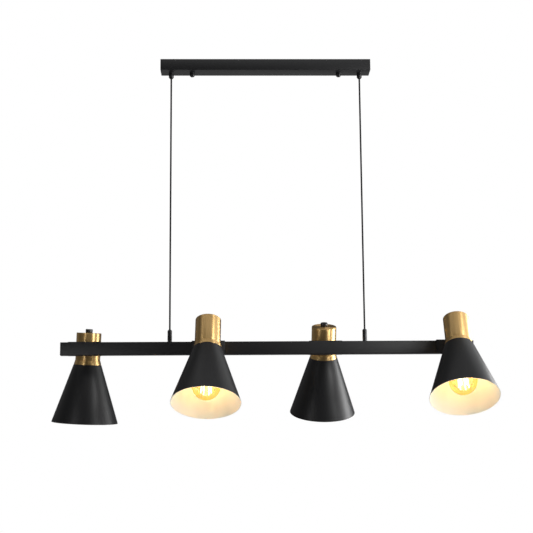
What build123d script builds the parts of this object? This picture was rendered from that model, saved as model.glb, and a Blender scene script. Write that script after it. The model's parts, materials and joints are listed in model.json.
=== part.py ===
from build123d import *
from math import hypot
import os

# Linear pendant lamp for a pool table: a ceiling canopy, two suspension cables and a bar with
# four tiltable spot heads, two on each side. Millimetres, +Z up, origin at the middle of the
# ceiling plane, +X along the bar. The lamp hangs at negative Z.

# Ceiling canopy: a folded tray, open towards the ceiling
CANOPY_LENGTH = 500.0
CANOPY_WIDTH = 45.0
CANOPY_HEIGHT = 26.5
CANOPY_WALL = 1.0
CABLE_SPACING = 450.0  # between the two suspension cables
STUD_SPACING = 350.0  # between the two cap nuts

# Ceiling bracket inside the canopy
BRACKET_LENGTH = 420.0
BRACKET_WIDTH = 26.0
BRACKET_THICKNESS = 1.5
SCREW_SLOT_SPACING = 120.0
SCREW_SLOT_LENGTH = 20.0
SCREW_SLOT_WIDTH = 5.0
STUD_DIAMETER = 4.0
STUD_DROP = 7.0  # below the canopy

# Cap nuts and cable glands
CAP_NUT_DIAMETER = 12.0
CAP_NUT_HEIGHT = 10.5
UPPER_GLAND_DIAMETER = 12.0
UPPER_GLAND_HEIGHT = 7.0
UPPER_TIP_DIAMETER = 8.6
UPPER_TIP_HEIGHT = 8.0
LOWER_GLAND_DIAMETER = 10.5
LOWER_GLAND_HEIGHT = 26.0
LOWER_TIP_HEIGHT = 2.4
GLAND_THREAD = 8.0
GLAND_BORE = 5.2
GLAND_NUT_SIZE = 12.0  # across flats
GLAND_NUT_HEIGHT = 3.5
CABLE_DIAMETER = 4.0
CABLE_GRIP = 3.0  # length of cable inside each gland

# Bar: a rectangular tube with an end cap at each end
BAR_LENGTH = 950.0
BAR_DEPTH = 20.0
BAR_HEIGHT = 30.0
BAR_WALL = 1.2
BAR_Z = -689.0  # height of the bar's centre line
END_CAP_THICKNESS = 1.5
END_CAP_PLUG = 8.0

# Saddle plates and swivels on the bar's faces
SADDLE_LENGTH = 76.0
SADDLE_THICKNESS = 2.0
SADDLE_LIP = 10.0
PIVOT_OFFSET = 12.0  # tilt axis to the bar's face
SWIVEL_GAP = 0.4
SWIVEL_DISC_DIAMETER = 24.0
SWIVEL_DISC_THICKNESS = 3.0
SPIGOT_DIAMETER = 9.9
SPIGOT_BORE = 5.0
BUSH_DIAMETER = 15.0
BUSH_BORE = 10.0
BUSH_LENGTH = 5.0
KNUCKLE_RADIUS = 6.0
TONGUE_THICKNESS = 6.0
CHEEK_GAP = 6.8
CHEEK_THICKNESS = 3.0
HINGE_DIAMETER = 5.0
HINGE_CLEARANCE = 0.05

# Spot head, in its own frame: origin on the tilt axis, +Y away from the bar, +Z up the head's axis
HEAD_OFFSET = 54.0  # tilt axis to the head's own axis
CUP_RADIUS = 29.0
CUP_WALL = 1.2
CUP_TOP = 40.0
CUP_BOTTOM = -25.0
COLLAR_BOTTOM = -35.0
COLLAR_RADIUS_TOP = 29.6
COLLAR_RADIUS_BOTTOM = 32.0
COLLAR_INNER_RADIUS = 26.0
SHADE_LENGTH = 135.0
SHADE_TOP_RADIUS = 32.5
SHADE_MOUTH_RADIUS = 77.5
SHADE_WALL = 1.0
KNOB_RADIUS = 8.25
KNOB_HEIGHT = 9.0
HOLDER_RADIUS = 20.0
HOLDER_TOP = 5.0
HOLDER_BOTTOM = -45.0
HOLDER_BORE_RADIUS = 13.75
HOLDER_THREAD_RADIUS = 4.9
ARM_RADIUS = 5.0

# Bulb: a 64 mm filament-style lamp with a 26.5 mm screw cap
BULB_RADIUS = 32.0
BULB_BOTTOM = -160.0
BULB_CAP_RADIUS = 13.25
BULB_CAP_BOTTOM = -44.0
BULB_CAP_TOP = -17.0
GLASS_WALL = 1.0
FILAMENT_COUNT = 6

# Each head: place along the bar, side (+1 back, -1 front), swivel and tilt as it is set, in degrees
HEADS = [
    (-421.0, 1, 2.7, 6.8),
    (-136.0, -1, 1.0, 23.5),
    (134.5, 1, 0.6, 21.3),
    (427.5, -1, 0.7, 27.7),
]

os.makedirs("parts", exist_ok=True)


def save(part, name):
    """Label a finished piece and write its STEP file."""
    part.label = name
    export_step(part, f"parts/{name}.step")


def seat(head):
    """The place where a head's swivel meets the bar, before it is swivelled or tilted."""
    x, side, _, _ = head
    return Location((x, side * (BAR_DEPTH / 2 + PIVOT_OFFSET), BAR_Z), (0, 0, 90 - 90 * side))


def swivelled(head):
    """The place of what turns on the bar's face."""
    _, side, swivel, _ = head
    return seat(head) * Location((0, 0, 0), (0, side * swivel, 0))


def tilted(head):
    """The place of what tilts on the hinge screw."""
    return swivelled(head) * Location((0, 0, 0), (head[3], 0, 0))


cable_places = [(-CABLE_SPACING / 2, 0), (CABLE_SPACING / 2, 0)]
stud_places = [(-STUD_SPACING / 2, 0), (STUD_SPACING / 2, 0)]
canopy_floor = CANOPY_WALL - CANOPY_HEIGHT
bar_top = BAR_Z + BAR_HEIGHT / 2
upper_mouth = -CANOPY_HEIGHT - UPPER_GLAND_HEIGHT - UPPER_TIP_HEIGHT
lower_mouth = bar_top + LOWER_GLAND_HEIGHT + LOWER_TIP_HEIGHT

# ---------------------------------------------------------------- canopy and ceiling bracket

with BuildPart() as canopy_cover:
    with BuildSketch(Plane.XY.offset(-CANOPY_HEIGHT)):
        Rectangle(CANOPY_LENGTH, CANOPY_WIDTH)
    extrude(amount=CANOPY_HEIGHT)
    fillet(canopy_cover.edges().filter_by(Axis.Z), radius=1.5)
    fillet(canopy_cover.faces().sort_by(Axis.Z)[0].edges(), radius=0.8)
    with BuildSketch(Plane.XY.offset(canopy_floor)):
        RectangleRounded(CANOPY_LENGTH - 2 * CANOPY_WALL, CANOPY_WIDTH - 2 * CANOPY_WALL, 0.8)
    extrude(amount=-canopy_floor, mode=Mode.SUBTRACT)
    with Locations(*[(x, y, -CANOPY_HEIGHT) for x, y in cable_places]):
        Hole(GLAND_THREAD / 2 + 0.1)
    with Locations(*[(x, y, -CANOPY_HEIGHT) for x, y in stud_places]):
        Hole(STUD_DIAMETER / 2 + 0.3)
save(canopy_cover.part, "canopy_cover")

with BuildPart() as ceiling_bracket:
    with BuildSketch(Plane.XY.offset(-BRACKET_THICKNESS)):
        RectangleRounded(BRACKET_LENGTH, BRACKET_WIDTH, 3)
        with GridLocations(SCREW_SLOT_SPACING, 0, 2, 1):
            SlotOverall(SCREW_SLOT_LENGTH, SCREW_SLOT_WIDTH, mode=Mode.SUBTRACT)
    extrude(amount=BRACKET_THICKNESS)
    with BuildSketch(Plane.XY.offset(-BRACKET_THICKNESS)):
        with Locations(*stud_places):
            Circle(STUD_DIAMETER / 2)
    extrude(amount=-(CANOPY_HEIGHT + STUD_DROP - BRACKET_THICKNESS))
save(ceiling_bracket.part, "ceiling_bracket")

with BuildPart() as cap_nuts:
    with BuildSketch(Plane.XY.offset(-CANOPY_HEIGHT)):
        with Locations(*stud_places):
            Circle(CAP_NUT_DIAMETER / 2)
    extrude(amount=-CAP_NUT_HEIGHT)
    fillet(cap_nuts.edges().group_by(Axis.Z)[0], radius=CAP_NUT_DIAMETER / 2 - 0.3)
    with BuildSketch(Plane.XY.offset(-CANOPY_HEIGHT)):
        with Locations(*stud_places):
            Circle(STUD_DIAMETER / 2)
    extrude(amount=-STUD_DROP, mode=Mode.SUBTRACT)
save(cap_nuts.part, "cap_nuts")

with BuildPart() as upper_gland_bodies:
    with BuildSketch(Plane.XY.offset(-CANOPY_HEIGHT)):
        with Locations(*cable_places):
            Circle(UPPER_GLAND_DIAMETER / 2)
    extrude(amount=-UPPER_GLAND_HEIGHT)
    chamfer(upper_gland_bodies.edges().group_by(Axis.Z)[0], length=0.6)
    with BuildSketch(Plane.XY.offset(-CANOPY_HEIGHT - UPPER_GLAND_HEIGHT)):
        with Locations(*cable_places):
            Circle(UPPER_TIP_DIAMETER / 2)
    extrude(amount=-UPPER_TIP_HEIGHT)
    chamfer(upper_gland_bodies.edges().group_by(Axis.Z)[0], length=0.8)
    with BuildSketch(Plane.XY.offset(-CANOPY_HEIGHT)):
        with Locations(*cable_places):
            Circle(GLAND_THREAD / 2)
    extrude(amount=GLAND_THREAD)
    with BuildSketch(Plane.XY.offset(GLAND_THREAD - CANOPY_HEIGHT)):
        with Locations(*cable_places):
            Circle(GLAND_BORE / 2)
    extrude(amount=-CANOPY_HEIGHT - GLAND_THREAD, mode=Mode.SUBTRACT)
save(upper_gland_bodies.part, "upper_gland_bodies")

with BuildPart() as upper_gland_nuts:
    with BuildSketch(Plane.XY.offset(canopy_floor)):
        with Locations(*cable_places):
            RegularPolygon(GLAND_NUT_SIZE / 2, 6, major_radius=False)
            Circle(GLAND_THREAD / 2, mode=Mode.SUBTRACT)
    extrude(amount=GLAND_NUT_HEIGHT)
save(upper_gland_nuts.part, "upper_gland_nuts")

# The mains leads of the two cables meet in a terminal block under the bracket
BLOCK_LENGTH = 40.0
BLOCK_WIDTH = 16.0
BLOCK_HEIGHT = 13.0
BLOCK_Y = 8.0
TERMINAL_SPACING = 12.0
with BuildPart() as terminal_block:
    with BuildSketch(Plane.XY.offset(-BRACKET_THICKNESS)):
        with Locations((0, BLOCK_Y - 4)):
            RectangleRounded(BLOCK_LENGTH, BLOCK_WIDTH, 2)
    extrude(amount=-BLOCK_HEIGHT)
    with Locations((0, BLOCK_Y - 4, -BRACKET_THICKNESS - BLOCK_HEIGHT)):
        with GridLocations(TERMINAL_SPACING, 0, 3, 1):
            Cylinder(3, 4, align=(Align.CENTER, Align.CENTER, Align.MIN), mode=Mode.SUBTRACT)
save(terminal_block.part, "terminal_block")

lead_height = -9.0
with BuildPart() as canopy_leads:
    for side in (-1, 1):
        with BuildLine() as lead_route:
            FilletPolyline(
                (side * CABLE_SPACING / 2, 0, GLAND_THREAD - CANOPY_HEIGHT),
                (side * CABLE_SPACING / 2, 0, lead_height),
                (side * (CABLE_SPACING / 2 - 30), BLOCK_Y, lead_height),
                (side * BLOCK_LENGTH / 2, BLOCK_Y, lead_height),
                radius=[6, 40],
            )
        lead_end = Plane(lead_route.line @ 0, z_dir=lead_route.line % 0)
        with BuildSketch(lead_end):
            Circle(CABLE_DIAMETER / 2)
        sweep(path=lead_route.line)
save(canopy_leads.part, "canopy_leads")

# ---------------------------------------------------------------- suspension cables

for name, (x, y) in zip(("cable_left", "cable_right"), cable_places):
    with BuildPart() as cable:
        with BuildSketch(Plane.XY.offset(upper_mouth + CABLE_GRIP)):
            with Locations((x, y)):
                Circle(CABLE_DIAMETER / 2)
        extrude(amount=lower_mouth - upper_mouth - 2 * CABLE_GRIP)
    save(cable.part, name)

# ---------------------------------------------------------------- bar

bar_section = Plane.YZ.offset(-BAR_LENGTH / 2)
tube_length = BAR_LENGTH - 2 * END_CAP_THICKNESS
with BuildPart() as bar_tube:
    with BuildSketch(bar_section.offset(END_CAP_THICKNESS)):
        with Locations((0, BAR_Z)):
            RectangleRounded(BAR_DEPTH, BAR_HEIGHT, 1.5)
            RectangleRounded(BAR_DEPTH - 2 * BAR_WALL, BAR_HEIGHT - 2 * BAR_WALL, 0.5, mode=Mode.SUBTRACT)
    extrude(amount=tube_length)
    with BuildSketch(Plane.XY.offset(bar_top)):
        with Locations(*cable_places):
            Circle(GLAND_THREAD / 2 + 0.1)
    extrude(amount=-BAR_WALL - 1, mode=Mode.SUBTRACT)
    for head in HEADS:
        with BuildSketch(Plane(seat(head)) * Plane.XZ.offset(PIVOT_OFFSET - 1)):
            Circle(SPIGOT_DIAMETER / 2 + 0.35)
        extrude(amount=BAR_WALL + 2, mode=Mode.SUBTRACT)
save(bar_tube.part, "bar_tube")

with BuildPart() as bar_end_caps:
    for end in (-1, 1):
        with BuildSketch(Plane.YZ.offset(end * tube_length / 2)):
            with Locations((0, BAR_Z)):
                RectangleRounded(BAR_DEPTH, BAR_HEIGHT, 1.5)
        extrude(amount=end * END_CAP_THICKNESS)
        with BuildSketch(Plane.YZ.offset(end * tube_length / 2)):
            with Locations((0, BAR_Z)):
                RectangleRounded(BAR_DEPTH - 2 * BAR_WALL - 0.3, BAR_HEIGHT - 2 * BAR_WALL - 0.3, 0.5)
        extrude(amount=-end * END_CAP_PLUG)
save(bar_end_caps.part, "bar_end_caps")

gland_thread_end = bar_top - BAR_WALL - GLAND_NUT_HEIGHT - 1.5
with BuildPart() as lower_gland_bodies:
    with BuildSketch(Plane.XY.offset(bar_top)):
        with Locations(*cable_places):
            Circle(LOWER_GLAND_DIAMETER / 2)
    extrude(amount=LOWER_GLAND_HEIGHT)
    with BuildSketch(Plane.XY.offset(bar_top + LOWER_GLAND_HEIGHT)):
        with Locations(*cable_places):
            Circle(LOWER_GLAND_DIAMETER / 2)
    extrude(amount=LOWER_TIP_HEIGHT, taper=38)
    with BuildSketch(Plane.XY.offset(bar_top)):
        with Locations(*cable_places):
            Circle(GLAND_THREAD / 2)
    extrude(amount=gland_thread_end - bar_top)
    with BuildSketch(Plane.XY.offset(lower_mouth)):
        with Locations(*cable_places):
            Circle(GLAND_BORE / 2)
    extrude(amount=gland_thread_end - lower_mouth, mode=Mode.SUBTRACT)
save(lower_gland_bodies.part, "lower_gland_bodies")

with BuildPart() as lower_gland_nuts:
    with BuildSketch(Plane.XY.offset(bar_top - BAR_WALL)):
        with Locations(*cable_places):
            RegularPolygon(GLAND_NUT_SIZE / 2, 6, major_radius=False)
            Circle(GLAND_THREAD / 2, mode=Mode.SUBTRACT)
    extrude(amount=-GLAND_NUT_HEIGHT)
save(lower_gland_nuts.part, "lower_gland_nuts")

# A saddle plate hooks over the bar's top edge and lies flat on its face behind each swivel
with BuildPart() as saddle:
    with BuildSketch(Plane.YZ.offset(-SADDLE_LENGTH / 2)):
        with Locations((SADDLE_THICKNESS - PIVOT_OFFSET, -BAR_HEIGHT / 2)):
            Rectangle(SADDLE_LIP + SADDLE_THICKNESS, BAR_HEIGHT + SADDLE_THICKNESS, align=(Align.MAX, Align.MIN))
        with Locations((-PIVOT_OFFSET, -BAR_HEIGHT / 2)):
            Rectangle(SADDLE_LIP, BAR_HEIGHT, align=(Align.MAX, Align.MIN), mode=Mode.SUBTRACT)
    extrude(amount=SADDLE_LENGTH)
    fillet(saddle.edges().filter_by(Axis.X).group_by(Axis.Y)[-1], radius=1.2)
    with BuildSketch(Plane.XZ.offset(PIVOT_OFFSET - SADDLE_THICKNESS)):
        Circle(SPIGOT_DIAMETER / 2 + 0.35)
    extrude(amount=SADDLE_THICKNESS, mode=Mode.SUBTRACT)

bush_face = PIVOT_OFFSET + BAR_WALL
with BuildPart() as bush:
    with BuildSketch(Plane.XZ.offset(bush_face)):
        Circle(BUSH_DIAMETER / 2)
        Circle(BUSH_BORE / 2, mode=Mode.SUBTRACT)
    extrude(amount=BUSH_LENGTH)

seats = [seat(head) for head in HEADS]
with BuildPart() as saddle_plates:
    with Locations(*seats):
        add(saddle.part)
save(saddle_plates.part, "saddle_plates")

with BuildPart() as swivel_bushes:
    with Locations(*seats):
        add(bush.part)
save(swivel_bushes.part, "swivel_bushes")

# One lead runs along the floor of the bar, with a thin wire up to each swivel
trunk_height = BAR_Z - 10.5
wire_radius = 1.0
wire_offset = 2.5
wire_end = BAR_DEPTH / 2 - BAR_WALL - BUSH_LENGTH - 0.6
with BuildPart() as bar_leads:
    with BuildSketch(Plane.YZ.offset(HEADS[0][0] - 8)):
        with Locations((0, trunk_height)):
            Circle(CABLE_DIAMETER / 2)
    extrude(amount=HEADS[-1][0] - HEADS[0][0] + 16)
    for x, _ in cable_places:
        with BuildSketch(Plane.XY.offset(trunk_height)):
            with Locations((x, 0)):
                Circle(CABLE_DIAMETER / 2 - 0.1)
        extrude(amount=gland_thread_end - trunk_height)
    for x, side, _, _ in HEADS:
        with BuildLine() as wire_route:
            FilletPolyline(
                (x, -side * wire_offset, trunk_height),
                (x, -side * wire_offset, BAR_Z),
                (x, side * wire_end, BAR_Z),
                radius=4.5,
            )
        with BuildSketch(Plane(wire_route.line @ 0, z_dir=wire_route.line % 0)):
            Circle(wire_radius)
        sweep(path=wire_route.line)
save(bar_leads.part, "bar_leads")

# ---------------------------------------------------------------- swivel, in the head's frame

disc_back = PIVOT_OFFSET - SADDLE_THICKNESS - SWIVEL_GAP
disc_front = disc_back - SWIVEL_DISC_THICKNESS
spigot_end = bush_face + BUSH_LENGTH + 0.4
cheek_outside = CHEEK_GAP / 2 + CHEEK_THICKNESS

with BuildPart() as swivel_fork:
    with BuildSketch(Plane.XZ.offset(disc_front)):
        Circle(SWIVEL_DISC_DIAMETER / 2)
    extrude(amount=SWIVEL_DISC_THICKNESS)
    with BuildSketch(Plane.XZ.offset(disc_back)):
        Circle(SPIGOT_DIAMETER / 2)
    extrude(amount=spigot_end - disc_back)
    for side in (-1, 1):
        with BuildSketch(Plane.YZ.offset(side * CHEEK_GAP / 2)):
            Circle(KNUCKLE_RADIUS)
            Rectangle(disc_front + 0.5, 2 * KNUCKLE_RADIUS, align=(Align.MAX, Align.CENTER))
            Circle(HINGE_DIAMETER / 2, mode=Mode.SUBTRACT)
        extrude(amount=side * CHEEK_THICKNESS)
    with BuildSketch(Plane.XZ.offset(disc_front - 1)):
        Circle(SPIGOT_BORE / 2)
    extrude(amount=spigot_end, mode=Mode.SUBTRACT)

with BuildPart() as hinge_screw:
    with BuildSketch(Plane.YZ.offset(-cheek_outside - 5)):
        Circle(HINGE_DIAMETER / 2)
    extrude(amount=2 * cheek_outside + 5)
    with BuildSketch(Plane.YZ.offset(cheek_outside)):
        Circle(4.5)
    extrude(amount=3)
    fillet(hinge_screw.edges().group_by(Axis.X)[-1], radius=1.2)
    with BuildSketch(Plane.YZ.offset(cheek_outside + 1)):
        RegularPolygon(1.75, 6, major_radius=False)
    extrude(amount=3, mode=Mode.SUBTRACT)
    with BuildSketch(Plane.YZ.offset(-cheek_outside)):
        RegularPolygon(4, 6, major_radius=False)
    extrude(amount=-4)

# ---------------------------------------------------------------- spot head, in the head's frame

HEAD_PLANE = Plane.XZ.offset(-HEAD_OFFSET)  # its x is the radius and its y the height
HEAD_AXIS = Axis((0, HEAD_OFFSET, 0), (0, 0, 1))
arm_shoulder = HEAD_OFFSET - CUP_RADIUS
arm_nut_face = arm_shoulder + CUP_WALL + 0.8

with BuildPart() as arm:
    with BuildSketch(Plane.YZ.offset(-TONGUE_THICKNESS / 2)):
        Circle(KNUCKLE_RADIUS)
        Rectangle(KNUCKLE_RADIUS + 4, 9, align=(Align.MIN, Align.CENTER))
        Circle(HINGE_DIAMETER / 2 + HINGE_CLEARANCE, mode=Mode.SUBTRACT)
    extrude(amount=TONGUE_THICKNESS)
    with BuildSketch(Plane.XZ.offset(-KNUCKLE_RADIUS - 2)):
        Circle(ARM_RADIUS)
    extrude(amount=KNUCKLE_RADIUS + 2 - arm_shoulder - 1.5)
    with Locations((0, HEAD_OFFSET, 0)):
        Cylinder(CUP_RADIUS + 0.02, 2 * ARM_RADIUS + 2, mode=Mode.SUBTRACT)
    with BuildSketch(Plane.XZ.offset(-arm_shoulder + 1)):
        Circle(3.4)
    extrude(amount=-7.5)
    with BuildSketch(Plane.XZ.offset(-arm_nut_face)):
        RegularPolygon(5.5, 6, major_radius=False)
    extrude(amount=-4)

with BuildPart() as cup:
    with BuildSketch(HEAD_PLANE):
        with BuildLine():
            Polyline(
                (CUP_RADIUS, CUP_BOTTOM),
                (CUP_RADIUS, CUP_TOP),
                (HOLDER_THREAD_RADIUS + 0.1, CUP_TOP),
                (HOLDER_THREAD_RADIUS + 0.1, CUP_TOP - CUP_WALL),
                (CUP_RADIUS - CUP_WALL, CUP_TOP - CUP_WALL),
                (CUP_RADIUS - CUP_WALL, CUP_BOTTOM),
                close=True,
            )
        make_face()
    revolve(axis=HEAD_AXIS)
    cup_rim = cup.edges().filter_by(GeomType.CIRCLE).filter_by(lambda e: abs(e.radius - CUP_RADIUS) < 0.1)
    fillet(cup_rim.sort_by(Axis.Z)[-1], radius=1.1)
    with BuildSketch(Plane.XZ.offset(-arm_shoulder + 5)):
        Circle(3.5)
    extrude(amount=-15, mode=Mode.SUBTRACT)

with BuildPart() as collar:
    with BuildSketch(HEAD_PLANE):
        with BuildLine():
            Polyline(
                (COLLAR_INNER_RADIUS, CUP_BOTTOM),
                (COLLAR_RADIUS_TOP, CUP_BOTTOM),
                (COLLAR_RADIUS_BOTTOM, COLLAR_BOTTOM + 1),
                (COLLAR_RADIUS_BOTTOM, COLLAR_BOTTOM),
                (COLLAR_INNER_RADIUS, COLLAR_BOTTOM),
                close=True,
            )
        make_face()
    revolve(axis=HEAD_AXIS)

with BuildPart() as knob:
    with BuildSketch(Plane.XY.offset(CUP_TOP)):
        with Locations((0, HEAD_OFFSET)):
            Circle(KNOB_RADIUS)
    extrude(amount=KNOB_HEIGHT)
    fillet(knob.edges().group_by(Axis.Z)[-1], radius=1)
    with BuildSketch(Plane.XY.offset(CUP_TOP)):
        with Locations((0, HEAD_OFFSET)):
            Circle(HOLDER_THREAD_RADIUS)
    extrude(amount=KNOB_HEIGHT - 3, mode=Mode.SUBTRACT)

holder_lip = 24.0
shade_top_inner = 20.6
shade_bottom = COLLAR_BOTTOM - SHADE_LENGTH
shade_slope = (SHADE_MOUTH_RADIUS - SHADE_TOP_RADIUS) / SHADE_LENGTH
wall_across = SHADE_WALL * hypot(1, shade_slope)
shade_inner_top = SHADE_TOP_RADIUS + SHADE_WALL * shade_slope - wall_across

with BuildPart() as lamp_holder:
    with BuildSketch(HEAD_PLANE):
        with BuildLine():
            Polyline(
                (HOLDER_BORE_RADIUS, HOLDER_BOTTOM),
                (HOLDER_RADIUS, HOLDER_BOTTOM),
                (HOLDER_RADIUS, COLLAR_BOTTOM - SHADE_WALL - 3),
                (holder_lip, COLLAR_BOTTOM - SHADE_WALL - 3),
                (holder_lip, COLLAR_BOTTOM - SHADE_WALL),
                (HOLDER_RADIUS, COLLAR_BOTTOM - SHADE_WALL),
                (HOLDER_RADIUS, HOLDER_TOP),
                (HOLDER_THREAD_RADIUS, HOLDER_TOP),
                (HOLDER_THREAD_RADIUS, CUP_TOP + KNOB_HEIGHT - 3.5),
                (3, CUP_TOP + KNOB_HEIGHT - 3.5),
                (3, HOLDER_TOP - 8),
                (HOLDER_BORE_RADIUS, HOLDER_TOP - 14),
                close=True,
            )
        make_face()
    revolve(axis=HEAD_AXIS)

with BuildPart() as shade:
    with BuildSketch(HEAD_PLANE):
        with BuildLine():
            Polyline(
                (shade_top_inner, COLLAR_BOTTOM),
                (SHADE_TOP_RADIUS, COLLAR_BOTTOM),
                (SHADE_MOUTH_RADIUS, shade_bottom),
                (SHADE_MOUTH_RADIUS - wall_across, shade_bottom),
                (shade_inner_top, COLLAR_BOTTOM - SHADE_WALL),
                (shade_top_inner, COLLAR_BOTTOM - SHADE_WALL),
                close=True,
            )
        make_face()
    revolve(axis=HEAD_AXIS)

with BuildPart() as bulb_cap:
    with BuildSketch(HEAD_PLANE):
        with BuildLine():
            Polyline(
                (BULB_CAP_RADIUS, BULB_CAP_BOTTOM),
                (BULB_CAP_RADIUS, BULB_CAP_TOP - 5),
                (5, BULB_CAP_TOP - 2),
                (5, BULB_CAP_TOP),
                (0, BULB_CAP_TOP),
                (0, BULB_CAP_TOP - 4),
                (BULB_CAP_RADIUS - 0.8, BULB_CAP_TOP - 6),
                (BULB_CAP_RADIUS - 0.8, BULB_CAP_BOTTOM),
                close=True,
            )
        make_face()
    revolve(axis=HEAD_AXIS)

# The glass swells from its neck to a round end
glass_neck_top = BULB_CAP_BOTTOM + 3
glass_widest = BULB_BOTTOM + BULB_RADIUS
glass_neck_radius = BULB_CAP_RADIUS - 1


def glass_profile(inset):
    """The glass's outline from neck to pole, its radius reduced by inset."""
    return (
        Spline(
            (glass_neck_radius - inset, glass_neck_top),
            (glass_neck_radius + 1.2 - inset, BULB_CAP_BOTTOM - 8),
            (BULB_RADIUS * 0.72 - inset, glass_widest + 44),
            (BULB_RADIUS * 0.93 - inset, glass_widest + 20),
            (BULB_RADIUS - inset, glass_widest),
            tangents=[(0, -1), (0, -1)],
        ),
        CenterArc((0, glass_widest), BULB_RADIUS - inset, -90, 90),
    )


with BuildPart() as bulb_glass:
    with BuildSketch(HEAD_PLANE):
        with BuildLine():
            glass_profile(0)
            glass_profile(GLASS_WALL)
            Line((glass_neck_radius, glass_neck_top), (glass_neck_radius - GLASS_WALL, glass_neck_top))
            Line((0, BULB_BOTTOM), (0, BULB_BOTTOM + GLASS_WALL))
        make_face()
    revolve(axis=HEAD_AXIS)

FILAMENT_CIRCLE = 11.0
FILAMENT_TOP = -70.0
FILAMENT_BOTTOM = -146.0
with BuildPart() as filament:
    with BuildSketch(Plane.XY.offset(glass_neck_top - 1)):
        with Locations((0, HEAD_OFFSET)):
            Circle(3.5)
    extrude(amount=FILAMENT_TOP - glass_neck_top + 1)
    for height in (FILAMENT_TOP, FILAMENT_BOTTOM):
        with BuildSketch(Plane.XY.offset(height)):
            with Locations((0, HEAD_OFFSET)):
                Circle(FILAMENT_CIRCLE + 1.6)
        extrude(amount=1)
    with BuildSketch(Plane.XY.offset(FILAMENT_BOTTOM)):
        with Locations((0, HEAD_OFFSET)):
            with PolarLocations(FILAMENT_CIRCLE, FILAMENT_COUNT):
                Circle(1)
    extrude(amount=FILAMENT_TOP - FILAMENT_BOTTOM + 0.5)

# ---------------------------------------------------------------- four heads along the bar

swivel_pieces = {"swivel_fork": swivel_fork, "hinge_screw": hinge_screw}
head_pieces = {
    "arm": arm,
    "cup": cup,
    "collar": collar,
    "knob": knob,
    "lamp_holder": lamp_holder,
    "shade": shade,
    "bulb_cap": bulb_cap,
    "bulb_glass": bulb_glass,
    "filament": filament,
}
for number, head in enumerate(HEADS, start=1):
    for pieces, place in ((swivel_pieces, swivelled(head)), (head_pieces, tilted(head))):
        for name, source in pieces.items():
            with BuildPart() as piece:
                with Locations(place):
                    add(source.part)
            save(piece.part, f"head_{number}_{name}")
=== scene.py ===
"""Looks of a four-head pendant lamp for a pool table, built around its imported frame.

Every mesh is made in metres. The pieces of a spot head are modelled in the head's own frame, with
the origin on the tilt axis, +Y away from the bar and +Z up the head's axis, and then carried to the
place that the frame's joints give. Everything else is modelled straight in the frame.
"""

import json
import logging
from dataclasses import dataclass, field
from enum import Enum
from math import atan2, cos, hypot, pi, radians, sin, tan, tau
from typing import Iterable, Sequence

import bmesh
import bpy
from bmesh.types import BMesh
from mathutils import Matrix, Vector, geometry


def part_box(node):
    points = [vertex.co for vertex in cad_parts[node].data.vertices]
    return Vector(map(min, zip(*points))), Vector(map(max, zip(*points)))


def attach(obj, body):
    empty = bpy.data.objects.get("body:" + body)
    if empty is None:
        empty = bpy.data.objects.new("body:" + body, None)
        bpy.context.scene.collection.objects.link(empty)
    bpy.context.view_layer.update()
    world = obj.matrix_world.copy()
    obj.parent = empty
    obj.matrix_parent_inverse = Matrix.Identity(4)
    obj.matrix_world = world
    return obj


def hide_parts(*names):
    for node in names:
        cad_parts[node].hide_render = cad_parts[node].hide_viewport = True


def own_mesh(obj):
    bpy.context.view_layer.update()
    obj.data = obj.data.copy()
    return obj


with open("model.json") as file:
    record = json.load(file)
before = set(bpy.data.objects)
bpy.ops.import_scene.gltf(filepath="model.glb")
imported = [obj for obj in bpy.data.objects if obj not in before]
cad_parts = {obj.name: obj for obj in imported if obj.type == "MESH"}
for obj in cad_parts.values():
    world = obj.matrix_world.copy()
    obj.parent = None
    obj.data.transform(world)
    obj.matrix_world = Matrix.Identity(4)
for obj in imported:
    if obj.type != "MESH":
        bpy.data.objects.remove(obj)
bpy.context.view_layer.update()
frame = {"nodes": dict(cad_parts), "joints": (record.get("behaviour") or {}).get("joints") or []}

LOG = logging.getLogger("pendant")
MM = 0.001
RIGHT, AWAY, UP = (Vector(row) for row in Matrix.Identity(3))
QUARTER = 0.5523  # handle length, over the radius, of a curve that draws a quarter circle

Colour = tuple[float, float, float]
Material = bpy.types.Material
Piece = bpy.types.Object


# ---- finishes


class Mapping(Enum):
    """Where a finish reads its pattern from."""

    SPACE = "Object"
    SURFACE = "UV"


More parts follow.
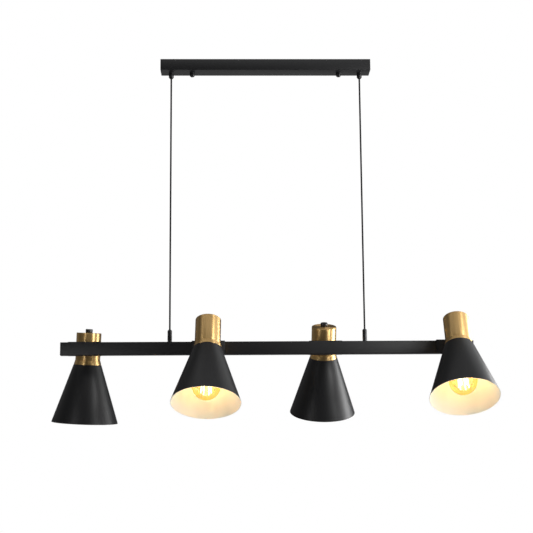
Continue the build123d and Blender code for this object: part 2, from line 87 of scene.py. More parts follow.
class Tree:
    """A material's node tree, with short ways to add and join its nodes."""

    def __init__(self, name: str) -> None:
        """Start a material that holds one Principled shader.

        Args:
            name: The material's name.
        """
        self.material = bpy.data.materials.new(name)
        self.material.use_nodes = True
        self.nodes = self.material.node_tree.nodes
        self.links = self.material.node_tree.links
        self.nodes.clear()
        output = self.nodes.new("ShaderNodeOutputMaterial")
        self.shader = self.nodes.new("ShaderNodeBsdfPrincipled")
        self.join(self.shader.outputs[0], output.inputs["Surface"])

    def join(self, out: bpy.types.NodeSocket, into: bpy.types.NodeSocket) -> None:
        """Link one socket to another."""
        self.links.new(out, into)

    def set(self, **values: object) -> None:
        """Set the shader's own sockets, named with underscores for spaces."""
        for key, value in values.items():
            self.shader.inputs[key.replace("_", " ")].default_value = value

    def feed(self, socket: str, out: bpy.types.NodeSocket) -> None:
        """Drive one of the shader's sockets."""
        self.join(out, self.shader.inputs[socket])

    def place(self, mapping: Mapping, scale: Sequence[float] = (1, 1, 1)) -> bpy.types.NodeSocket:
        """Give the coordinates that a pattern is laid on.

        Args:
            mapping: Space in the object, or its own surface.
            scale: How much the pattern is stretched along each axis.

        Returns:
            The socket that carries the coordinates.
        """
        coordinates = self.nodes.new("ShaderNodeTexCoord")
        stretch = self.nodes.new("ShaderNodeMapping")
        stretch.inputs["Scale"].default_value = scale
        self.join(coordinates.outputs[mapping.value], stretch.inputs["Vector"])
        return stretch.outputs[0]

    def noise(self, where: bpy.types.NodeSocket, scale: float, detail: float = 2.0) -> bpy.types.NodeSocket:
        """Give a noise value between 0 and 1.

        Args:
            where: The coordinates that the pattern lies on.
            scale: How fine the pattern is.
            detail: How many finer layers lie over it.

        Returns:
            The socket that carries the value.
        """
        cloud = self.nodes.new("ShaderNodeTexNoise")
        cloud.inputs["Scale"].default_value = scale
        cloud.inputs["Detail"].default_value = detail
        self.join(where, cloud.inputs["Vector"])
        return cloud.outputs["Fac"]

    def wave(self, where: bpy.types.NodeSocket, scale: float, direction: str) -> bpy.types.NodeSocket:
        """Give the value of a sine wave along one direction.

        Args:
            where: The coordinates that the pattern lies on.
            scale: How close the waves are.
            direction: The direction that they run in.

        Returns:
            The socket that carries the value.
        """
        ripple = self.nodes.new("ShaderNodeTexWave")
        ripple.bands_direction = direction
        ripple.wave_profile = "SIN"
        ripple.inputs["Scale"].default_value = scale
        self.join(where, ripple.inputs["Vector"])
        return ripple.outputs["Fac"]

    def ramp(self, value: bpy.types.NodeSocket, low: float, high: float) -> bpy.types.NodeSocket:
        """Map a value from 0..1 to low..high.

        Args:
            value: The value, from 0 to 1.
            low: What 0 becomes.
            high: What 1 becomes.

        Returns:
            The socket that carries the new value.
        """
        spread = self.nodes.new("ShaderNodeMapRange")
        spread.inputs["To Min"].default_value = low
        spread.inputs["To Max"].default_value = high
        self.join(value, spread.inputs["Value"])
        return spread.outputs[0]

    def blend(
        self, share: bpy.types.NodeSocket, first: Sequence[float], second: Sequence[float]
    ) -> bpy.types.NodeSocket:
        """Mix two colours by a share that runs from 0 to 1.

        Args:
            share: How much there is of the second colour.
            first: The colour at a share of 0.
            second: The colour at a share of 1.

        Returns:
            The socket that carries the mixed colour.
        """
        mix = self.nodes.new("ShaderNodeMix")
        mix.data_type = "RGBA"
        mix.inputs["A"].default_value = (*first, 1)
        mix.inputs["B"].default_value = (*second, 1)
        self.join(share, mix.inputs["Factor"])
        return mix.outputs["Result"]

    def product(self, first: bpy.types.NodeSocket, second: bpy.types.NodeSocket) -> bpy.types.NodeSocket:
        """Multiply two values.

        Args:
            first: One value.
            second: The other value.

        Returns:
            The socket that carries the product.
        """
        multiply = self.nodes.new("ShaderNodeMath")
        multiply.operation = "MULTIPLY"
        self.join(first, multiply.inputs[0])
        self.join(second, multiply.inputs[1])
        return multiply.outputs[0]

    def emboss(self, height: bpy.types.NodeSocket, depth: float, strength: float) -> None:
        """Raise the surface by a height pattern.

        Args:
            height: The pattern, from 0 to 1.
            depth: Its real depth, in metres.
            strength: How much of it shows, from 0 to 1.
        """
        bump = self.nodes.new("ShaderNodeBump")
        bump.inputs["Distance"].default_value = depth
        bump.inputs["Strength"].default_value = strength
        self.join(height, bump.inputs["Height"])
        self.feed("Normal", bump.outputs[0])


@dataclass(frozen=True)
class PowderCoat:
    """Satin powder coat: an even colour with a fine orange-peel grain and faint cloudiness."""

    name: str
    colour: Colour
    roughness: float
    grain: float = 900.0
    depth: float = 0.00006

    def make(self) -> Material:
        """Build the material.

        Returns:
            The material.
        """
        tree = Tree(self.name)
        space = tree.place(Mapping.SPACE)
        cloud = tree.noise(space, 14.0, 4.0)
        peel = tree.noise(space, self.grain, 3.0)
        lighter = tuple(min(1.0, value * 1.25) for value in self.colour)
        tree.feed("Base Color", tree.blend(cloud, self.colour, lighter))
        tree.feed("Roughness", tree.ramp(peel, self.roughness - 0.05, self.roughness + 0.07))
        tree.emboss(peel, self.depth, 0.35)
        tree.set(IOR=1.5, Specular_IOR_Level=0.5)
        return tree.material


@dataclass(frozen=True)
class BrushedMetal:
    """Metal brushed round its axis, under clear lacquer, with streaks of slightly different tone."""

    name: str
    colour: Colour
    shade: Colour
    roughness: float
    anisotropy: float
    lacquer: float

    def make(self) -> Material:
        """Build the material.

        Returns:
            The material.
        """
        tree = Tree(self.name)
        hair = tree.noise(tree.place(Mapping.SURFACE, (18.0, 2600.0, 1.0)), 1.0, 5.0)
        band = tree.noise(tree.place(Mapping.SURFACE, (420.0, 3.0, 1.0)), 1.0, 3.0)
        tree.feed("Base Color", tree.blend(band, self.shade, self.colour))
        tree.feed("Roughness", tree.ramp(hair, self.roughness - 0.07, self.roughness + 0.09))
        tree.emboss(hair, 0.00002, 0.25)
        tree.set(
            Metallic=1.0, Anisotropic=self.anisotropy, Anisotropic_Rotation=0.25,
            Coat_Weight=self.lacquer, Coat_Roughness=0.12,
        )
        tangent = tree.nodes.new("ShaderNodeTangent")
        tangent.direction_type = "UV_MAP"
        tree.feed("Tangent", tangent.outputs[0])
        return tree.material


@dataclass(frozen=True)
class Enamel:
    """Smooth enamel or glaze, with a faint unevenness in its gloss."""

    name: str
    colour: Colour
    roughness: float
    coat: float = 0.0

    def make(self) -> Material:
        """Build the material.

        Returns:
            The material.
        """
        tree = Tree(self.name)
        space = tree.place(Mapping.SPACE)
        cloud = tree.noise(space, 30.0, 3.0)
        darker = tuple(value * 0.94 for value in self.colour)
        tree.feed("Base Color", tree.blend(cloud, darker, self.colour))
        tree.feed("Roughness", tree.ramp(cloud, self.roughness - 0.06, self.roughness + 0.06))
        tree.emboss(tree.noise(space, 500.0, 2.0), 0.00004, 0.2)
        tree.set(Coat_Weight=self.coat, Coat_Roughness=0.08)
        return tree.material


@dataclass(frozen=True)
class Braid:
    """Woven textile sleeve of a cable: two families of threads that cross on its surface."""

    name: str
    thread: Colour
    gap: Colour
    pitch: float = 0.0006

    def make(self) -> Material:
        """Build the material.

        Returns:
            The material.
        """
        tree = Tree(self.name)
        turn = 1.0 / self.pitch
        surface = tree.place(Mapping.SURFACE, (turn, turn, 1.0))
        left = tree.wave(surface, 0.32, "DIAGONAL")
        mirrored = tree.place(Mapping.SURFACE, (-turn, turn, 1.0))
        right = tree.wave(mirrored, 0.32, "DIAGONAL")
        weave = tree.product(left, right)
        tree.feed("Base Color", tree.blend(weave, self.gap, self.thread))
        tree.emboss(weave, 0.0001, 0.6)
        tree.set(Roughness=0.85, Sheen_Weight=0.1, Sheen_Roughness=0.4)
        return tree.material


@dataclass(frozen=True)
class TintedGlass:
    """Thin coloured glass, deeper in colour where it is seen edge on."""

    name: str
    tint: Colour
    deep: Colour
    clear_share: float
    edge_share: float

    def make(self) -> Material:
        """Build the material.

        Returns:
            The material.
        """
        tree = Tree(self.name)
        facing = tree.nodes.new("ShaderNodeLayerWeight")
        facing.inputs["Blend"].default_value = 0.42
        edge = facing.outputs["Facing"]
        tree.feed("Base Color", tree.blend(edge, self.tint, self.deep))
        ripple = tree.noise(tree.place(Mapping.SPACE), 60.0, 2.0)
        tree.feed("Alpha", tree.ramp(edge, self.clear_share, self.edge_share))
        tree.feed("Roughness", tree.ramp(ripple, 0.01, 0.05))
        tree.set(IOR=1.5, Specular_IOR_Level=0.6)
        return tree.material


@dataclass(frozen=True)
class Glow:
    """A lit body: it glows in its given colour, such as that of warm light, with a fine paler speckle."""

    name: str
    colour: Colour
    strength: float

    def make(self) -> Material:
        """Build the material.

        Returns:
            The material.
        """
        tree = Tree(self.name)
        speckle = tree.noise(tree.place(Mapping.SPACE), 900.0, 1.0)
        paler = tuple(min(1.0, value * 1.15) for value in self.colour)
        colour = tree.blend(speckle, self.colour, paler)
        tree.feed("Base Color", colour)
        tree.feed("Emission Color", colour)
        tree.set(Roughness=0.5, Emission_Strength=self.strength)
        return tree.material


# ---- pieces


class Slot(Enum):
    """The record's material slots."""

    COAT = "black_powder_coat"
    ZINC = "zinc_plated_steel"
    FITTING = "black_nickel_fittings"
    TERMINAL = "terminal_plastic"
    LEAD = "lead_sheath"
    CABLE = "cable_braid"
    BRASS = "brushed_brass"
    HOLDER = "holder_plastic"
    SHADE = "shade_enamel"
    LINING = "shade_lining"
    CAP = "bulb_cap_metal"
    GLASS = "amber_glass"
    FILAMENT = "lit_filament"


@dataclass
class Palette:
    """The lamp's finishes, each made once and shared by the pieces that have it."""

    made: dict[Slot, Material] = field(default_factory=dict)

    def mix(self) -> None:
        """Make every finish."""
        black = (0.0085, 0.0086, 0.0095)
        finishes = {
            Slot.COAT: PowderCoat("satin_black_powder", black, 0.42),
            Slot.SHADE: PowderCoat("satin_black_shade", black, 0.4),
            Slot.LINING: Enamel("warm_white_lining", (0.86, 0.84, 0.74), 0.5),
            Slot.FITTING: Enamel("black_turned_metal", (0.010, 0.010, 0.011), 0.32, 0.3),
            Slot.ZINC: BrushedMetal("zinc_plate", (0.66, 0.67, 0.69), (0.55, 0.56, 0.58), 0.3, 0.2, 0.0),
            Slot.TERMINAL: Enamel("terminal_white", (0.80, 0.78, 0.72), 0.5),
            Slot.LEAD: Enamel("lead_grey", (0.60, 0.60, 0.58), 0.45),
            Slot.CABLE: Braid("black_braid", (0.010, 0.010, 0.011), (0.005, 0.005, 0.005)),
            Slot.BRASS: BrushedMetal("brushed_brass", (0.94, 0.64, 0.28), (0.84, 0.53, 0.2), 0.4, 0.9, 0.2),
            Slot.HOLDER: Enamel("glazed_holder", (0.84, 0.82, 0.78), 0.25, 0.5),
            Slot.CAP: BrushedMetal("stamped_cap", (0.80, 0.68, 0.42), (0.66, 0.54, 0.30), 0.28, 0.2, 0.0),
            Slot.GLASS: TintedGlass("amber_glass", (1.0, 0.52, 0.07), (0.95, 0.38, 0.03), 0.3, 0.85),
            Slot.FILAMENT: Glow("lit_filament", (1.0, 0.86, 0.62), 5.5),
        }
        for slot, finish in finishes.items():
            self.made[slot] = finish.make()

    def dress(self, slot: Slot, nodes: Iterable[str]) -> None:
        """Give a finish to frame nodes that stay as they are.

        Args:
            slot: The slot that the finish comes from.
            nodes: The names of the frame nodes.
        """
        for name in nodes:
            for holder in frame["nodes"][name].material_slots:
                holder.material = self.made[slot]
        LOG.info("dressed %s", ", ".join(nodes))


PALETTE = Palette()


@dataclass(frozen=True)
class Corner:
    """A corner of a turned outline: its radius, height and rounding, in millimetres."""

    radius: float
    height: float
    rounding: float = 0.0

    def point(self) -> Vector:
        """The corner's place in metres, in the XZ plane."""
        return Vector((self.radius, 0, self.height)) * MM


def rounded(corners: Sequence[Corner], steps: int = 3) -> list[Vector]:
    """Round the corners of a closed outline.

    Args:
        corners: The outline's corners, in order.
        steps: How many straight pieces make up each rounding.

    Returns:
        The outline's points, in metres.
    """
    points = []
    for index, corner in enumerate(corners):
        here = corner.point()
        if corner.rounding == 0:
            points.append(here)
            continue
        back = (corners[index - 1].point() - here).normalized()
        ahead = (corners[(index + 1) % len(corners)].point() - here).normalized()
        reach = corner.rounding * MM / tan(back.angle(ahead) / 2)
        start = here + back * reach
        end = here + ahead * reach
        points += geometry.interpolate_bezier(
            start, start.lerp(here, 0.55), end.lerp(here, 0.55), end, steps + 1
        )
    return points


def turn(outline: Sequence[Vector], steps: int = 72) -> BMesh:
    """Turn a closed outline round Z, as on a lathe.

    Args:
        outline: The outline's points, in the XZ plane. Points on the axis become poles.
        steps: How many flats the turned piece has.

    Returns:
        A closed mesh with the pattern coordinates of its surface.
    """
    mesh = bmesh.new()
    points = [mesh.verts.new(point) for point in outline]
    edges = [mesh.edges.new(ends) for ends in zip(points, points[1:])]
    if outline[0].x > 0 or outline[-1].x > 0:
        edges.append(mesh.edges.new((points[-1], points[0])))
    bmesh.ops.spin(
        mesh, geom=points + edges, cent=(0, 0, 0), axis=(0, 0, 1), dvec=(0, 0, 0),
        angle=tau, steps=steps, use_merge=True,
    )
    close(mesh)
    wrap(mesh)
    return mesh


def curve(corners: Sequence[Corner], steps: int) -> list[Vector]:
    """Draw a smooth curve from the first of four corners to the last, steered by the two between."""
    return geometry.interpolate_bezier(*[corner.point() for corner in corners], steps)


def groove(radius: float, start: float, end: float, depth: float = 0.3) -> list[Corner]:
    """Cut a groove into the side of a turned outline.

    Args:
        radius: The outline's radius beside the groove, in millimetres.
        start: The height where the outline enters the groove.
        end: The height where it leaves it.
        depth: How deep the groove is.

    Returns:
        The groove's corners, in order.
    """
    slant = 0.3 if end > start else -0.3
    return [
        Corner(radius, start, 0.2), Corner(radius - depth, start + slant),
        Corner(radius - depth, end - slant), Corner(radius, end, 0.2),
    ]


def close(mesh: BMesh) -> None:
    """Merge a mesh's doubles and turn its faces outwards.

    Args:
        mesh: The mesh to change.
    """
    bmesh.ops.remove_doubles(mesh, verts=mesh.verts, dist=1e-6)
    bmesh.ops.dissolve_degenerate(mesh, edges=mesh.edges, dist=1e-7)
    bmesh.ops.recalc_face_normals(mesh, faces=mesh.faces)


def wrap(mesh: BMesh) -> None:
    """Lay pattern coordinates round Z, in metres: U runs round the piece and V along it.

    Args:
        mesh: The turned mesh to change.
    """
    layer = mesh.loops.layers.uv.verify()
    for face in mesh.faces:
        middle = face.calc_center_median()
        facing = atan2(middle.y, middle.x)
        reach = max(hypot(loop.vert.co.x, loop.vert.co.y) for loop in face.loops)
        for loop in face.loops:
            x, y, z = loop.vert.co
            out = hypot(x, y)
            turned = (atan2(y, x) - facing + pi) % tau - pi if out > 1e-6 else 0.0
            loop[layer].uv = ((facing + turned) * reach, z - out)


def box(low: Vector, high: Vector) -> BMesh:
    """Make a box between two corners.

    Args:
        low: The corner with the lowest coordinates.
        high: The corner with the highest.

    Returns:
        The box's mesh.
    """
    mesh = bmesh.new()
    bmesh.ops.create_cube(mesh, size=1)
    bmesh.ops.scale(mesh, vec=high - low, verts=mesh.verts)
    bmesh.ops.translate(mesh, vec=(low + high) / 2, verts=mesh.verts)
    return mesh


def bevel(mesh: BMesh, edges: Sequence[bmesh.types.BMEdge], size: float, segments: int) -> None:
    """Round the given edges of a mesh.

    Args:
        mesh: The mesh to change.
        edges: The edges to round.
        size: The rounding's size, in metres.
        segments: How many faces make up each rounding.
    """
    bmesh.ops.bevel(
        mesh, geom=edges, offset=size, segments=segments, profile=0.5, affect="EDGES", material=-1
    )


def soften(mesh: BMesh, along: Iterable[int], size: float, segments: int = 3) -> None:
    """Round a box's edges that run along the given axes.

    Args:
        mesh: The mesh to change.
        along: The axes, 0 to 2, whose edges are rounded.
        size: The rounding's size, in metres.
        segments: How many faces make up each rounding.
    """
    axes = set(along)
    chosen = []
    for edge in mesh.edges:
        span = edge.verts[1].co - edge.verts[0].co
        main = max(range(3), key=lambda axis: abs(span[axis]))
        if main in axes and abs(span[main]) > 0.999 * span.length and len(edge.link_faces) == 2:
            chosen.append(edge)
    bevel(mesh, chosen, size, segments)


def open_faces(mesh: BMesh, *directions: Vector) -> None:
    """Take away a box's faces that look in the given directions."""
    gone = [face for face in mesh.faces if any(face.normal.dot(way) > 0.99 for way in directions)]
    bmesh.ops.delete(mesh, geom=gone, context="FACES")


def rod(radius: float, start: Vector, end: Vector, sides: int = 32, rim: float = 0.0) -> BMesh:
    """Make a solid rod, or a hexagon where it has six sides.

    Args:
        radius: Its radius over the corners, in metres.
        start: The middle of one end.
        end: The middle of the other end.
        sides: How many sides it has.
        rim: How far its end edges are rounded.

    Returns:
        The rod's mesh.
    """
    mesh = bmesh.new()
    span = end - start
    bmesh.ops.create_cone(
        mesh, cap_ends=True, segments=sides, radius1=radius, radius2=radius, depth=span.length
    )
    if rim > 0:
        rims = [edge for edge in mesh.edges if abs(edge.verts[0].co.z - edge.verts[1].co.z) < 1e-9]
        bevel(mesh, rims, rim, 2)
    aim = UP.rotation_difference(span).to_matrix().to_4x4()
    mesh.transform(Matrix.Translation((start + end) / 2) @ aim)
    return mesh


def join(*parts: BMesh) -> BMesh:
    """Put several meshes into one and free the others.

    Args:
        *parts: The meshes to put together.

    Returns:
        One mesh with all the parts.
    """
    whole = bmesh.new()
    for part in parts:
        data = bpy.data.meshes.new("joined")
        part.to_mesh(data)
        part.free()
        whole.from_mesh(data)
        bpy.data.meshes.remove(data)
    return whole


def copies(mesh: BMesh, places: Sequence[Vector]) -> BMesh:
    """Stand a copy of a mesh at each place.

    Args:
        mesh: The mesh, made at the origin. It is freed.
        places: Where the copies stand.

    Returns:
        One mesh with all the copies.
    """
    shifted = []
    for place in places:
        twin = mesh.copy()
        bmesh.ops.translate(twin, verts=twin.verts, vec=place)
        shifted.append(twin)
    mesh.free()
    return join(*shifted)


def pair(outline: Sequence[Corner], node: str, radius: float, height: float) -> BMesh:
    """Turn a fitting and stand one at each end of the box of the node that it stands for.

    Args:
        outline: The fitting's outline.
        node: The frame node that holds both fittings.
        radius: The fitting's radius, in millimetres.
        height: Where the outline's zero height stands, in metres.

    Returns:
        One mesh with both fittings.
    """
    low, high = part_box(node)
    places = [Vector((low.x + radius * MM, 0, height)), Vector((high.x - radius * MM, 0, height))]
    return copies(turn(rounded(outline), 40), places)


def add(name: str, data: bpy.types.ID) -> Piece:
    """Put an object with the given data in the scene.

    Args:
        name: The object's name.
        data: Its mesh, curve, light or camera.

    Returns:
        The new object.
    """
    added = bpy.data.objects.new(name, data)
    bpy.context.scene.collection.objects.link(added)
    return added


def present(
    mesh: BMesh,
    name: str,
    body: str,
    slot: Slot,
    replaced: Sequence[str] = (),
    place: Matrix = Matrix.Identity(4),
    crease: float = 38.0,
) -> Piece:
    """Make a piece of a finished mesh and set it on its body.

    Args:
        mesh: The mesh. It is freed.
        name: The piece's name.
        body: The body that it rides on.
        slot: The slot that its finish comes from.
        replaced: The frame nodes that it stands for.
        place: Where the mesh goes in the frame.
        crease: The angle in degrees past which an edge stays sharp.

    Returns:
        The piece.
    """
    mesh.transform(place)
    for face in mesh.faces:
        face.smooth = True
    for edge in mesh.edges:
        edge.smooth = not edge.is_manifold or edge.calc_face_angle(0.0) < radians(crease)
    data = bpy.data.meshes.new(name)
    mesh.to_mesh(data)
    mesh.free()
    data.materials.append(PALETTE.made[slot])
    piece = add(name, data)
    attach(piece, body)
    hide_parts(*replaced)
    LOG.info("%s: %d faces", name, len(data.polygons))
    return piece


def thicken(piece: Piece, wall: float, rim: float) -> None:
    """Give an open shell its wall, inwards, and round the wall's rims.

    Args:
        piece: The shell.
        wall: The wall's thickness, in metres.
        rim: How far the rims are rounded, in metres.
    """
    shell = piece.modifiers.new("wall", "SOLIDIFY")
    shell.thickness = wall
    shell.offset = -1.0
    shell.use_even_offset = True
    blunt(piece, rim)


def blunt(piece: Piece, rim: float) -> None:
    """Round a piece's sharp edges slightly, as real ones are.

    Args:
        piece: The piece.
        rim: How far its edges are rounded, in metres.
    """
    edge = piece.modifiers.new("blunt", "BEVEL")
    edge.width = rim
    edge.segments = 2
    edge.limit_method = "ANGLE"
    edge.angle_limit = radians(40)


# ---- cables


@dataclass
class Cables:
    """The two suspension cables, each in a braided sleeve, that also carry the current."""

    diameter: float = 0.004
    shortest: float = 0.35
    flats: int = 24

    def make(self) -> None:
        """Make both cables."""
        for side in ("left", "right"):
            self.hang(side)

    def route(self, name: str) -> list[Vector]:
        """Read the line of a cable: one smooth curve from its upper end to its lower end.

        Args:
            name: The cable's frame node.

        Returns:
            Points along the cable, from the top.
        """
        low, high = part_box(name)
        middle = (low + high) / 2
        top = Vector((middle.x, middle.y, high.z))
        bottom = Vector((middle.x, middle.y, low.z))
        line = bpy.data.curves.new(name + "_line", "CURVE")
        line.dimensions = "3D"
        spline = line.splines.new("NURBS")
        spline.points.add(4)
        for index, point in enumerate(spline.points):
            point.co = (*top.lerp(bottom, index / 4), 1)
        spline.order_u = 3
        spline.use_endpoint_u = True
        spline.resolution_u = 24
        holder = add(name + "_line", line)
        bpy.context.view_layer.update()
        drawn = bpy.data.meshes.new_from_object(holder)
        points = [vertex.co.copy() for vertex in drawn.vertices]
        bpy.data.objects.remove(holder)
        bpy.data.curves.remove(line)
        bpy.data.meshes.remove(drawn)
        return points

    def hang(self, side: str) -> None:
        """Args:
            side: The cable's side, left or right.
        """
        node = f"cable_{side}"
        path = self.route(node)
        start, end = path[0], path[-1]
        radius = self.diameter / 2
        skin = [Vector((radius, 0, point.z)) for point in path]
        outline = [Vector((0, 0, start.z)), *skin, Vector((0, 0, end.z))]
        place = Matrix.Translation((start.x, start.y, 0))
        sleeve = turn(outline, self.flats)
        piece = present(sleeve, f"cable_{side}_sleeve", "suspension", Slot.CABLE, [node], place)
        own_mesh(piece)


# ---- canopy


@dataclass
class Canopy:
    """The ceiling canopy: a folded tray, its bracket, cap nuts and the upper cable glands."""

    wall: float = 0.001
    corner: float = 0.0015
    fold: float = 0.0010
    rim: float = 0.0002
    nut_radius: float = 6.0
    nut_height: float = 10.5
    gland_radius: float = 6.0
    gland_height: float = 15.0
    gland_shoulder: float = 12.4
    bore: float = 2.6

    def make(self) -> None:
        """Make the canopy's pieces and dress what it hides."""
        self.tray()
        self.cap_nuts()
        self.glands()
        PALETTE.dress(Slot.ZINC, ["ceiling_bracket", "upper_gland_nuts"])
        PALETTE.dress(Slot.TERMINAL, ["terminal_block"])
        PALETTE.dress(Slot.LEAD, ["canopy_leads"])

    def tray(self) -> None:
        """Fold the tray, open towards the ceiling."""
        mesh = box(*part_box("canopy_cover"))
        soften(mesh, [2], self.corner)
        open_faces(mesh, UP)
        floor = min(vertex.co.z for vertex in mesh.verts)
        folds = [
            edge for edge in mesh.edges
            if all(abs(vertex.co.z - floor) < 1e-6 for vertex in edge.verts) and len(edge.link_faces) == 2
        ]
        bevel(mesh, folds, self.fold, 3)
        piece = present(mesh, "canopy_tray", "canopy", Slot.COAT, ["canopy_cover"])
        thicken(piece, self.wall, self.rim)

    def cap_nuts(self) -> None:
        """Turn the two cap nuts that hold the tray up."""
        wide = self.nut_radius
        drop = -self.nut_height
        outline = [
            Corner(0, 0), Corner(wide, 0, 0.2), *groove(wide, -1.3, -2.5, 0.4),
            Corner(wide, drop + 2.6, 2.2), Corner(3.6, drop, 1.6), Corner(0, drop),
        ]
        mesh = pair(outline, "cap_nuts", wide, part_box("cap_nuts")[1].z)
        present(mesh, "cap_nuts_domed", "canopy", Slot.FITTING, ["cap_nuts"])

    def glands(self) -> None:
        """Turn the two glands that the cables come out of, with mouths wide enough for the swing."""
        wide = self.gland_radius
        end = -self.gland_height
        shoulder = -self.gland_shoulder
        outline = [
            Corner(self.bore, 2), Corner(wide, 2), *groove(wide, -1.4, -2.6), Corner(wide, shoulder, 0.5),
            Corner(4.4, shoulder - 0.6, 0.2), Corner(4.3, end, 0.5), Corner(3.4, end, 0.2),
            Corner(3.2, end + 4), Corner(self.bore, end + 4.6),
        ]
        mesh = pair(outline, "upper_gland_bodies", wide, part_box("canopy_cover")[0].z)
        present(mesh, "upper_glands", "canopy", Slot.FITTING, ["upper_gland_bodies"])


# ---- bar


@dataclass(frozen=True)
class Setting:
    """Where one head sits and how it is turned, read from the frame's joints."""

    number: int
    pivot: Vector
    swivel: float
    tilt: float

    @classmethod
    def read(cls, number: int) -> "Setting":
        """Read a head's setting.

        Args:
            number: The head's number, from 1.

        Returns:
            Its setting at rest.
        """
        joints = {joint["name"]: joint for joint in frame["joints"]}
        swivel = joints[f"head_{number}_swivel"]
        tilt = joints[f"head_{number}_tilt"]
        return cls(number, Vector(swivel["pos_m"]), -sum(swivel["range_deg"]) / 2, -tilt["range_deg"][0])

    def facing(self) -> Matrix:
        """The half turn of a head on the bar's near side."""
        return Matrix.Rotation(0 if self.pivot.y > 0 else pi, 4, "Z")

    def seated(self) -> Matrix:
        """The head's frame before it swivels or tilts."""
        return Matrix.Translation(self.pivot) @ self.facing()

    def swivelled(self) -> Matrix:
        """The frame of what turns on the bar's face."""
        turned = Matrix.Rotation(radians(self.swivel), 4, "Y")
        return Matrix.Translation(self.pivot) @ turned @ self.facing()

    def tilted(self) -> Matrix:
        """The frame of what tilts on the hinge screw."""
        return self.swivelled() @ Matrix.Rotation(radians(self.tilt), 4, "X")


@dataclass
class Bar:
    """The bar: a rectangular tube, its end caps, the lower glands and the saddle plates."""

    corner: float = 0.0015
    wall: float = 0.0012
    tube_rim: float = 0.00015
    cap_rim: float = 0.00035
    gland_radius: float = 5.25
    gland_height: float = 28.4
    bore: float = 2.6
    saddle_wall: float = 0.002
    saddle_bend: float = 0.0012
    saddle_rim: float = 0.0003
    saddle_length: float = 0.076
    saddle_depth: float = 0.012
    saddle_face: float = -0.010
    saddle_top: float = 0.017
    saddle_bottom: float = -0.015

    def make(self, settings: Sequence[Setting]) -> None:
        """Make the bar's pieces and dress what it hides.

        Args:
            settings: Where each head sits on the bar.
        """
        self.tube()
        self.end_caps()
        self.glands()
        self.saddles(settings)
        PALETTE.dress(Slot.ZINC, ["lower_gland_nuts", "swivel_bushes"])
        PALETTE.dress(Slot.LEAD, ["bar_leads"])

    def tube(self) -> None:
        """Draw the rectangular tube."""
        mesh = box(*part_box("bar_tube"))
        soften(mesh, [0], self.corner, 4)
        open_faces(mesh, RIGHT, -RIGHT)
        piece = present(mesh, "bar_profile", "bar", Slot.COAT, ["bar_tube"], crease=60)
        thicken(piece, self.wall, self.tube_rim)

    def end_caps(self) -> None:
        """Close the tube's two ends."""
        low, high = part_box("bar_end_caps")
        tube_low, tube_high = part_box("bar_tube")
        left = box(low, Vector((tube_low.x, high.y, high.z)))
        right = box(Vector((tube_high.x, low.y, low.z)), high)
        mesh = join(left, right)
        soften(mesh, [0], self.corner, 4)
        piece = present(mesh, "bar_end_plates", "bar", Slot.COAT, ["bar_end_caps"], crease=60)
        blunt(piece, self.cap_rim)

    def glands(self) -> None:
        """Turn the two glands that hold the cables' lower ends."""
        wide = self.gland_radius
        top = self.gland_height
        outline = [
            Corner(self.bore, -1), Corner(wide, -1), *groove(wide, 3.0, 4.3, 0.4),
            *groove(wide, 16.0, 17.2), *groove(wide, 18.6, 19.8), Corner(wide, top - 2.4, 0.4),
            Corner(3.5, top, 0.4), Corner(self.bore, top, 0.2),
        ]
        mesh = pair(outline, "lower_gland_bodies", wide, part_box("bar_tube")[1].z)
        present(mesh, "lower_glands", "bar", Slot.FITTING, ["lower_gland_bodies"])

    def saddles(self, settings: Sequence[Setting]) -> None:
        """Hook a plate over the bar's top edge behind each swivel.

        Args:
            settings: Where each head sits on the bar.
        """
        plates = []
        for setting in settings:
            back = self.saddle_face - self.saddle_depth
            low = Vector((-self.saddle_length / 2, back, self.saddle_bottom))
            high = Vector((self.saddle_length / 2, self.saddle_face, self.saddle_top))
            plate = box(low, high)
            open_faces(plate, RIGHT, -RIGHT, -AWAY, -UP)
            soften(plate, [0], self.saddle_bend, 3)
            plate.transform(setting.seated())
            plates.append(plate)
        piece = present(join(*plates), "saddle_clips", "bar", Slot.COAT, ["saddle_plates"], crease=60)
        thicken(piece, self.saddle_wall, self.saddle_rim)


# ---- heads


